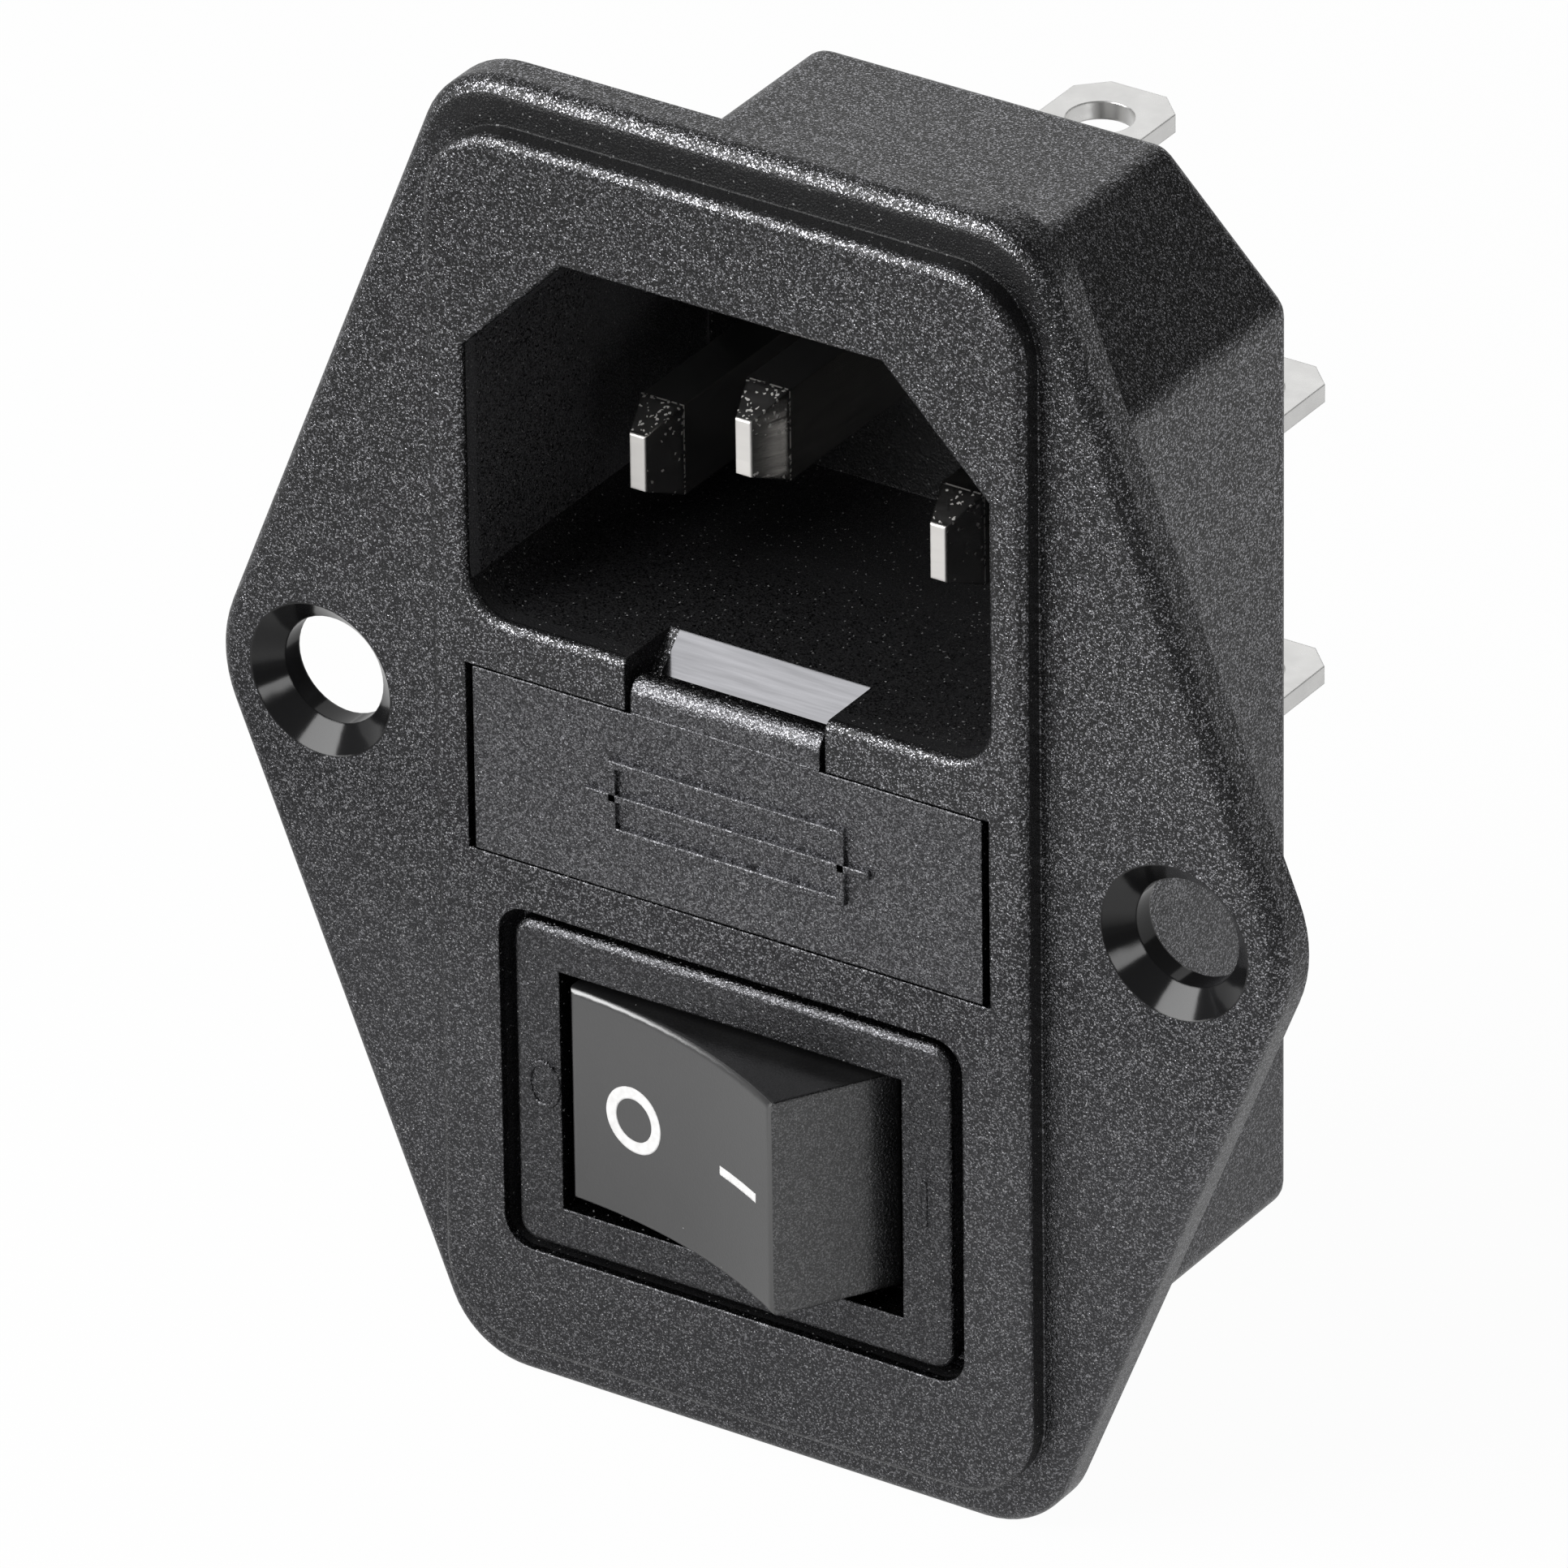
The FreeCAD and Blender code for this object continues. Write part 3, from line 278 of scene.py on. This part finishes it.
def satin_plastic(name):
    """Black rocker: satin with a very fine grain and a few specks of dust, duller sides and a grained raised end."""
    f = Finish(name)
    fine = f.noise(9000.0, 2.0, 0.6)
    cloud = f.noise(420.0, 2.0, 0.5)
    from_dust = f.node("ShaderNodeTexVoronoi", inputs={"Vector": f.place(), "Scale": 1500.0})
    dust = (from_dust < 0.035) * (f.noise(900.0, 0.0) > 0.62)
    x, y, z = f.axes(f.place())
    grained = (x * RAISED_END[0] + y * RAISED_END[1]) > RAISED_END[2] * MM
    side = abs(z - PIVOT[2] * MM) > ROCKER_FLANK * MM
    tip = (0.5 * glinting_tips(f, 0.3)[0] + 0.13) * grained
    shade = f.ramp(fine * 0.6 + cloud * 0.4, 0.36, 0.64)
    smooth = f.blend(shade, grey(0.01, ROCKER_TINT), grey(0.016, ROCKER_TINT))
    colour = f.blend(dust, f.blend(tip, smooth, grey(0.25, ROCKER_TINT)), grey(0.4))
    relief = fine * (0.3 + 0.7 * grained)
    coat = 0.95 * (1.0 - side) * (1.0 - 0.6 * grained)
    return f.end(Base_Color=colour, Metallic=f.ramp(tip, 0.0, METAL_FROM), Roughness=f.spread(cloud, 0.28, 0.36),
                 Normal=f.bump(relief, 0.04 * MM, edge=0.25 * MM), Specular_IOR_Level=0.4,
                 Coat_Weight=coat, Coat_IOR=1.95, Coat_Roughness=0.3)


def print_white(name):
    """White pad print and white moulding, faintly uneven."""
    f = Finish(name)
    uneven = f.noise(3500.0, 2.0)
    colour = f.blend(f.spread(uneven), grey(0.66, 0.01), grey(0.76, 0.005))
    return f.end(Base_Color=colour, Roughness=f.spread(uneven, 0.4, 0.55), Normal=f.bump(uneven, 0.01 * MM))


def pin_side_shade(f):
    """Mask of painted shade on the pins behind their bright end faces, but for small nicks on the tapers and where
    these end; the earth pin, in the middle, stands further forward and higher."""
    x, y, z = f.axes(f.place())
    earth = abs(x) < EARTH_HALF_WIDTH * MM
    depth = y - PIN_END * MM + EARTH_AHEAD * MM * earth
    on_top = (z - EARTH_ABOVE * MM * earth) > PIN_SHOULDER * MM
    chance, other, _ = f.cells(NICK_SCALE)
    nicks = (chance > 0.985 - 0.065 * on_top) * (depth < 1.9 * MM)
    burr = (abs(depth - PIN_TAPER * MM) < SKIN * MM) * (other > 0.35)
    return f.ramp(depth, 0.04 * MM, 0.12 * MM) * (1.0 - nicks) * (1.0 - burr)


def plated_metal(name, colour, rough, streak=(300.0, 300.0, 4000.0), relief=0.000004, spots=0.1, shade_mask=None):
    """Plated strip or turned metal: fine drawn streaks along one direction and soft tarnish; where a mask is given,
    a face dimmed by painted shade, and glossier, on it."""
    f = Finish(name)
    lines = f.streaks(streak)
    cloud = f.noise(700.0, 3.0, 0.6)
    tarnish = f.ramp(cloud, 0.35, 0.75, 0.0, spots)
    tone = f.blend(tarnish, colour, dimmed(colour, 0.72))
    gloss = f.spread(lines * 0.6 + cloud * 0.4, 0.7 * rough, 1.3 * rough)
    if shade_mask:
        sides = shade_mask(f)
        # Painted shade: the masked faces of the pins are dimmed to 0.6 of their colour.
        tone = f.blend(sides, tone, dimmed(colour, 0.6))
        gloss = gloss + 0.3 * (1.0 - sides)
    return f.end(Base_Color=tone, Metallic=1.0, Roughness=gloss, Normal=f.bump(lines, relief))


def fuse_glass(name):
    """Clear tube glass, faintly uneven."""
    f = Finish(name)
    rough = f.spread(f.noise(500.0, 2.0), 0.01, 0.05)
    return f.end(Base_Color=(0.95, 0.98, 0.97, 1.0), Roughness=rough, Transmission_Weight=1.0, IOR=1.5)


def floor_white(name):
    """Pale floor that the camera, metal and glass see as white, with the object's soft shadow kept. What glossy
    faces see of it is a painted patch of light, brightest ahead of the part and dimming to the left, to the right,
    far off and behind, with painted shade at the foot."""
    f = Finish(name)
    camera = f.node("ShaderNodeLightPath", out="Is Camera Ray")
    outputs = camera.socket.node.outputs
    glossy = Socket(f, outputs["Is Glossy Ray"])
    seen = camera + glossy + Socket(f, outputs["Is Transmission Ray"])
    x, y, _ = f.axes(f.place())
    from_foot = ((x + 12 * MM) ** 2.0 + (y - 5 * MM) ** 2.0) ** 0.5
    left = f.ramp(x, -60 * MM, -28 * MM, 0.35, 1.0)
    right = 1.0 - f.ramp(x, 12 * MM, 40 * MM, 0.0, 0.85) * f.ramp(y, -45 * MM, -20 * MM, 1.0, 0.0)
    far = f.ramp(y, -85 * MM, -60 * MM, 0.4, 1.0)
    foot = f.ramp(from_foot, 15 * MM, 50 * MM, 0.45, 1.0)
    behind = f.ramp(y, -20 * MM, 20 * MM)
    # Painted light and shade for glossy rays: a bright patch ahead, and painted shade at the part's foot.
    painted_pool = left * far * right * foot * (1.0 - behind) + 0.58 * behind
    pale = f.node("ShaderNodeBsdfDiffuse", inputs={"Color": grey(0.8)})
    white = f.node("ShaderNodeEmission", inputs={"Color": 1.0 - glossy * (1.0 - painted_pool), "Strength": 1.0})
    share = f.ramp(seen, 0.0, 1.0, 0.0, 0.97)
    return f.close(f.node("ShaderNodeMixShader", inputs={0: share, 1: pale, 2: white}))


def grid_piece(name, points, wrap_rows, material):
    """Mesh of quads over a grid of points in millimetres, closed round its columns, and round its rows if asked."""
    rows, columns = points.shape[:2]
    index = np.arange(rows * columns).reshape(rows, columns)
    down = np.concatenate([index, index[:1]]) if wrap_rows else index
    grid = np.concatenate([down, down[:, :1]], axis=1)
    quads = np.stack([grid[:-1, :-1], grid[:-1, 1:], grid[1:, 1:], grid[1:, :-1]], axis=-1).reshape(-1, 4)
    mesh = bpy.data.meshes.new(name)
    mesh.from_pydata((points.reshape(-1, 3) * MM).tolist(), [], quads.tolist())
    work = bmesh.new()
    work.from_mesh(mesh)
    bmesh.ops.remove_doubles(work, verts=work.verts, dist=1e-8)
    bmesh.ops.recalc_face_normals(work, faces=work.faces)
    work.to_mesh(mesh)
    work.free()
    piece = bpy.data.objects.new(name, mesh)
    bpy.context.scene.collection.objects.link(piece)
    mesh.materials.append(material)
    return piece


def strip(path, side, across, out, closed):
    """Profile (across, out) carried along a path in the plane: each path point plus across times its side
    vector, out of the plane by out. An open strip ends in a frame drawn in to the path's own point."""
    plane = path[:, None, :] + across[None, :, None] * side[:, None, :]
    height = np.broadcast_to(out, plane.shape[:2])
    frames = np.concatenate([plane, height[..., None]], axis=2)
    if closed:
        return frames
    mean = frames.mean(axis=1, keepdims=True) + 0 * frames
    return np.concatenate([mean[:1], frames, mean[-1:]])


def on_panel(frames):
    """Lays (x, z, out) on the plane of the panel's face."""
    return np.stack([frames[..., 0], PANEL_FACE - frames[..., 2], frames[..., 1]], axis=-1)


def on_rocker(frames):
    """Lays (x, z, out) on the rocker's dished face, a cylinder about Z, then tilts it about the pivot."""
    x, z, out = frames[..., 0], frames[..., 1], frames[..., 2]
    y = DISH_BOTTOM - DISH_RADIUS + np.sqrt(DISH_RADIUS ** 2 - x ** 2) - out
    turn_c, turn_s = np.cos(ROCKER_TILT), np.sin(ROCKER_TILT)
    return np.stack([PIVOT[0] + turn_c * x - turn_s * y, PIVOT[1] + turn_s * x + turn_c * y, PIVOT[2] + z], axis=-1)


def ridge_profile(width, rise, crest=0.32, sink=0.02):
    """Cross-section of a small ridge, its crest a share of its width, its foot sunk a little into the surface."""
    across = np.array([-0.5, -crest, crest, 0.5, 0.5, -0.5]) * width
    out = np.array([0.0, 1.0, 1.0, 0.0, 0.0, 0.0]) * rise
    out[4:] = -sink
    return across, out


def ring_path(centre, half_w, half_h, count=72):
    """Points round an ellipse, with side vectors that point outwards."""
    angle = np.linspace(0.0, 2 * np.pi, count, endpoint=False)
    side = np.stack([np.cos(angle), np.sin(angle)], axis=1)
    return np.array(centre) + side * np.array([half_w, half_h]), side


def box_path(centre, width, height):
    """Four corners of a rectangle, with mitred side vectors."""
    side = np.array([[-1.0, -1.0], [1.0, -1.0], [1.0, 1.0], [-1.0, 1.0]])
    return np.array(centre) + side * np.array([width, height]) / 2, side


def line_path(start, end, count=2):
    """Points on a straight line, with side vectors square to it."""
    t = np.linspace(0.0, 1.0, count)[:, None]
    way = np.array(end, float) - np.array(start, float)
    normal = np.array([-way[1], way[0]]) / np.hypot(*way)
    return np.array(start) + t * way, np.broadcast_to(normal, (count, 2))


def add_mark(name, path, profile, seat, closed, body, material):
    """One printed or moulded mark: a profile along a path, laid on the surface that carries it."""
    frames = strip(path[0], path[1], profile[0], profile[1], closed)
    piece = grid_piece(name, seat(frames), closed, material)
    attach(piece, body)


def add_marks(finishes):
    """Fuse symbol on the drawer, line across its lip, printed marks on the rocker, moulded marks on the bezel."""
    drawer = finishes["drawer_black"]
    relief = ridge_profile(0.36, 0.22, 0.42)
    symbol = [("fuse_symbol_box", box_path((0.1, -0.36), 10.7, 3.0), True),
              ("fuse_symbol_wire", line_path((-6.55, -0.36), (6.75, -0.36)), False)]
    for name, path, closed in symbol:
        add_mark(name, path, relief, on_panel, closed, "drawer", drawer)
    lip = line_path((-4.4, 3.62), (4.4, 3.62))
    add_mark("lip_line", lip, ridge_profile(0.1, 0.035), on_panel, False, "drawer", drawer)
    white = finishes["plunger_white"]
    ring = ring_path((-2.88, -0.05), 1.21, 1.21)
    printed = ridge_profile(0.54, 0.012, 0.48)
    add_mark("rocker_ring", ring, printed, on_rocker, True, "rocker", white)
    dash = line_path((2.3, -0.07), (4.95, -0.07), 24)
    narrower = ridge_profile(0.42, 0.012, 0.48)
    add_mark("rocker_dash", dash, narrower, on_rocker, False, "rocker", white)
    bezel = finishes["switch_black"]
    faint = ridge_profile(0.3, 0.09)
    ring = ring_path((-8.9, -14.6), 0.7, 0.98)
    add_mark("bezel_ring", ring, faint, on_panel, True, "inlet", bezel)
    bar = line_path((9.1, -15.65), (9.1, -13.55))
    add_mark("bezel_bar", bar, faint, on_panel, False, "inlet", bezel)


def make_finishes():
    """The finish of each material slot in the record."""
    return {
        "housing_black": eroded_plastic("housing_black", 0.55, 0.58, tooled=True),
        "drawer_black": eroded_plastic("drawer_black", 0.3, 0.46, 0.6),
        "switch_black": eroded_plastic("switch_black", 0.4, 0.34, 0.5),
        "rocker_black": satin_plastic("rocker_black"),
        "plunger_white": print_white("plunger_white"),
        "pin_nickel": plated_metal("pin_nickel", (0.95, 0.93, 0.9, 1.0), 0.2, relief=0.00001, shade_mask=pin_side_shade),
        "tab_tinned": plated_metal("tab_tinned", (0.97, 0.965, 0.95, 1.0), 0.3, spots=0.3),
        "contact_brass": plated_metal("contact_brass", (0.8, 0.58, 0.28, 1.0), 0.26),
        "contact_silver": plated_metal("contact_silver", (0.9, 0.89, 0.87, 1.0), 0.2),
        "fuse_cap": plated_metal("fuse_cap", (0.76, 0.74, 0.7, 1.0), 0.2, (4000.0, 300.0, 300.0)),
        "fuse_glass": fuse_glass("fuse_glass"),
        "spring_steel": plated_metal("spring_steel", (0.62, 0.62, 0.62, 1.0), 0.24),
    }


def dress_nodes(frame, finishes):
    """Gives each CAD node its finish, and smooth shading across its fine facets but not its edges."""
    slots = {row["node"]: row["material_slot"] for row in frame["record"]["subparts"]}
    for name, node in frame["nodes"].items():
        node.data.materials.clear()
        node.data.materials.append(finishes[slots[name]])
        node.data.polygons.foreach_set("use_smooth", np.ones(len(node.data.polygons), bool))
        weld = node.modifiers.new("weld", "WELD")
        weld.merge_threshold = 1e-7
        split = node.modifiers.new("split", "EDGE_SPLIT")
        split.split_angle = np.radians(32.0)
        flat = node.modifiers.new("flat_faces", "WEIGHTED_NORMAL")
        flat.weight = 90


def softbox(name, direction, distance, width, height, radiance):
    """Soft rectangular lamp, in metres, that faces the part's middle; radiance is what a mirror shows of it."""
    lamp = bpy.data.lights.new(name, "AREA")
    lamp.shape = "RECTANGLE"
    lamp.size = width
    lamp.size_y = height
    lamp.energy = radiance * np.pi * width * height
    lamp_object = bpy.data.objects.new(name, lamp)
    towards = Vector(direction).normalized()
    lamp_object.location = towards * distance
    lamp_object.rotation_euler = towards.to_track_quat("Z", "Y").to_euler()
    lamp_object.visible_camera = False
    bpy.context.scene.collection.objects.link(lamp_object)


def add_floor():
    """Round floor with a rim that sweeps up: a radius and height profile turned about Z."""
    flat, rim = 2200.0, 400.0
    inner = np.linspace(0.0, flat, 12)
    sweep = np.linspace(0.1, np.pi / 2, 8)
    radius = np.concatenate([inner, flat + rim * np.sin(sweep)])
    height = np.concatenate([0 * inner, rim * (1 - np.cos(sweep))]) + FLOOR
    angle = np.linspace(0.0, 2 * np.pi, 64, endpoint=False)
    points = np.stack([radius[:, None] * np.cos(angle), radius[:, None] * np.sin(angle),
                       height[:, None] + 0 * angle], axis=-1)
    floor = grid_piece("floor", points, False, floor_white("floor_white"))
    floor.data.polygons.foreach_set("use_smooth", np.ones(len(floor.data.polygons), bool))


def add_studio():
    """Key lamp high at the front left, a lamp behind left, a narrow one low at the right, a dim even surround."""
    softbox("key_front_left", (-0.5, -0.68, 0.53), distance=0.5, width=0.37, height=0.48, radiance=7.0)
    softbox("back_left", (-0.479, 0.7285, 0.489), distance=0.35, width=0.35, height=0.3, radiance=0.68)
    softbox("edge_right", (0.683, -0.627, 0.189), distance=0.6, width=0.08, height=0.2, radiance=5.0)
    world = bpy.data.worlds.new("studio")
    bpy.context.scene.world = world
    world.use_nodes = True
    surround = world.node_tree.nodes["Background"].inputs
    surround["Color"].default_value = grey(1.0)
    surround["Strength"].default_value = 0.1
    bpy.context.scene.view_settings.view_transform = "Standard"


def add_camera():
    """Long lens at the photograph's angle, with the part's origin a little left of and below the middle."""
    azimuth, elevation, roll = np.radians([33.348, 29.306, -0.7611])
    distance, shift_right, shift_up = 789.99, 0.4004, 0.0715
    aim = np.array([0.0, 0.3, 0.0])
    focal_pixels, frame_pixels = 24740.13, 1932.0
    back = np.array([np.sin(azimuth) * np.cos(elevation), -np.cos(azimuth) * np.cos(elevation), np.sin(elevation)])
    level = np.array([np.cos(azimuth), np.sin(azimuth), 0.0])
    rise = np.cross(back, level)
    right = np.cos(roll) * level + np.sin(roll) * rise
    up = np.cos(roll) * rise - np.sin(roll) * level
    eye = (back * distance + right * shift_right + up * shift_up + aim) * MM
    camera = bpy.data.cameras.new("camera")
    camera.sensor_width = 36.0
    camera.lens = focal_pixels / frame_pixels * camera.sensor_width
    camera.clip_start = 0.05
    camera.clip_end = 20.0
    holder = bpy.data.objects.new("camera", camera)
    holder.matrix_world = Matrix.Translation(Vector(eye)) @ Matrix(np.stack([right, up, back], axis=1)).to_4x4()
    bpy.context.scene.collection.objects.link(holder)
    bpy.context.scene.camera = holder


def main():
    """Dresses the frame, adds the marks, floor, lamps and camera."""
    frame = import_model()
    finishes = make_finishes()
    dress_nodes(frame, finishes)
    add_marks(finishes)
    add_floor()
    add_studio()
    add_camera()


main()
